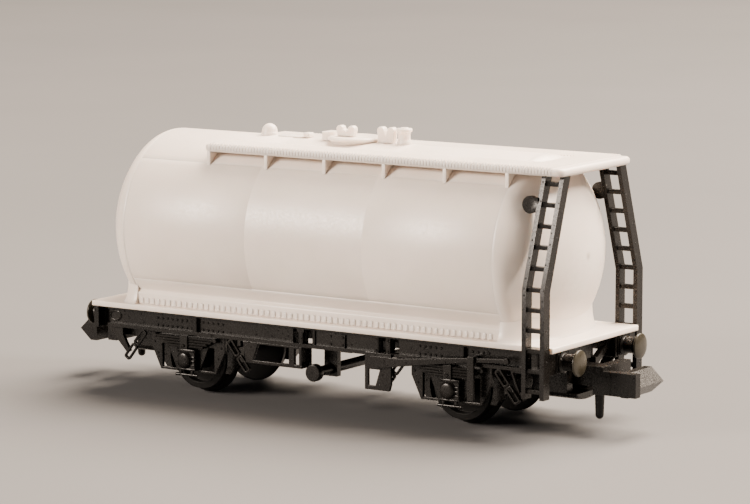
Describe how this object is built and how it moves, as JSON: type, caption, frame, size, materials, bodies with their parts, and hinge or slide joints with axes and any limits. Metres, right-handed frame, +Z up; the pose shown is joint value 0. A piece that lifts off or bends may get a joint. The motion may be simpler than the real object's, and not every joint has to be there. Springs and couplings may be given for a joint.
{
  "type": "model tank wagon",
  "caption": "Unpainted four-wheel model tank wagon: white tank and walkway on a black underframe with end ladders, buffers and sprung hook couplings.",
  "frame": {"origin": "under the middle of the wagon, at the lowest point of the wheel flanges", "axes": "+X along the wagon towards the ladder end, +Z up; the near side is -Y"},
  "size_m": [0.0654, 0.0188, 0.0276],
  "materials": {
    "white_styrene": "satin, slightly translucent moulded styrene",
    "black_styrene": "semi-gloss moulded styrene",
    "wheel_plastic": "semi-gloss moulded acetal",
    "buffer_plastic": "semi-gloss moulded styrene, rubbed",
    "bright_steel": "turned",
    "spring_steel": "drawn wire",
    "ballast_steel": "zinc plated",
    "brass": "turned"
  },
  "bodies": {
    "chassis": {"deck": "white_styrene", "tank_cradle": "white_styrene", "tank_side_near": "white_styrene", "tank_side_far": "white_styrene", "tank_top": "white_styrene", "tank_end_front": "white_styrene", "tank_end_rear": "white_styrene", "walkway": "white_styrene", "manhole_neck": "white_styrene", "manhole_lid": "white_styrene", "lid_hinge": "white_styrene", "lid_fork": "white_styrene", "valve_fork": "white_styrene", "relief_valve": "white_styrene", "vent_dome": "white_styrene", "dip_plate": "white_styrene", "dip_cap": "white_styrene", "ballast_weight": "ballast_steel", "ladder_near": "black_styrene", "ladder_far": "black_styrene", "chassis_floor": "black_styrene", "solebar_near": "black_styrene", "solebar_far": "black_styrene", "headstock_front": "black_styrene", "headstock_rear": "black_styrene", "buffers_front": "buffer_plastic", "buffers_rear": "buffer_plastic", "axleguard_front_near": "black_styrene", "axleguard_front_far": "black_styrene", "axleguard_rear_near": "black_styrene", "axleguard_rear_far": "black_styrene", "leaf_spring_front_near": "black_styrene", "leaf_spring_front_far": "black_styrene", "leaf_spring_rear_near": "black_styrene", "leaf_spring_rear_far": "black_styrene", "axleboxes": "black_styrene", "suspension_links": "black_styrene", "bearing_cups": "brass", "brake_shoes": "black_styrene", "brake_shaft": "black_styrene", "shaft_hangers": "black_styrene", "brake_lever_near": "black_styrene", "brake_lever_far": "black_styrene", "lever_brackets": "black_styrene", "side_frames": "black_styrene", "coupling_pocket_front": "black_styrene", "coupling_pocket_rear": "black_styrene", "pocket_cover_front": "black_styrene", "pocket_cover_rear": "black_styrene"},
    "wheelset_front": {"axle_front": "bright_steel", "wheel_front_near": "wheel_plastic", "wheel_front_far": "wheel_plastic"},
    "wheelset_rear": {"axle_rear": "bright_steel", "wheel_rear_near": "wheel_plastic", "wheel_rear_far": "wheel_plastic"},
    "coupling_seat_front": {"coupling_spring_front": "spring_steel"},
    "coupling_hook_front": {"coupling_front": "black_styrene"},
    "coupling_seat_rear": {"coupling_spring_rear": "spring_steel"},
    "coupling_hook_rear": {"coupling_rear": "black_styrene"}
  },
  "joints": [
    {"name": "wheelset_front_spin", "type": "hinge", "parent": "chassis", "child": "wheelset_front", "pos_m": [0.01545, 0, 0.00375], "axis": [0, 1, 0], "continuous": true},
    {"name": "coupling_front_swing", "type": "hinge", "parent": "chassis", "child": "coupling_seat_front", "pos_m": [0.0241, 0, 0.00525], "axis": [0, 0, 1], "range_deg": [-10, 10], "stiffness_Nm_per_rad": 0.00005},
    {"name": "coupling_front_lift", "type": "hinge", "parent": "coupling_seat_front", "child": "coupling_hook_front", "pos_m": [0.0241, 0, 0.00525], "axis": [0, -1, 0], "range_deg": [0, 10], "stiffness_Nm_per_rad": 0.00005},
    {"name": "wheelset_rear_spin", "type": "hinge", "parent": "chassis", "child": "wheelset_rear", "pos_m": [-0.01545, 0, 0.00375], "axis": [0, 1, 0], "continuous": true},
    {"name": "coupling_rear_swing", "type": "hinge", "parent": "chassis", "child": "coupling_seat_rear", "pos_m": [-0.0241, 0, 0.00525], "axis": [0, 0, 1], "range_deg": [-10, 10], "stiffness_Nm_per_rad": 0.00005},
    {"name": "coupling_rear_lift", "type": "hinge", "parent": "coupling_seat_rear", "child": "coupling_hook_rear", "pos_m": [-0.0241, 0, 0.00525], "axis": [0, 1, 0], "range_deg": [0, 10], "stiffness_Nm_per_rad": 0.00005}
  ]
}
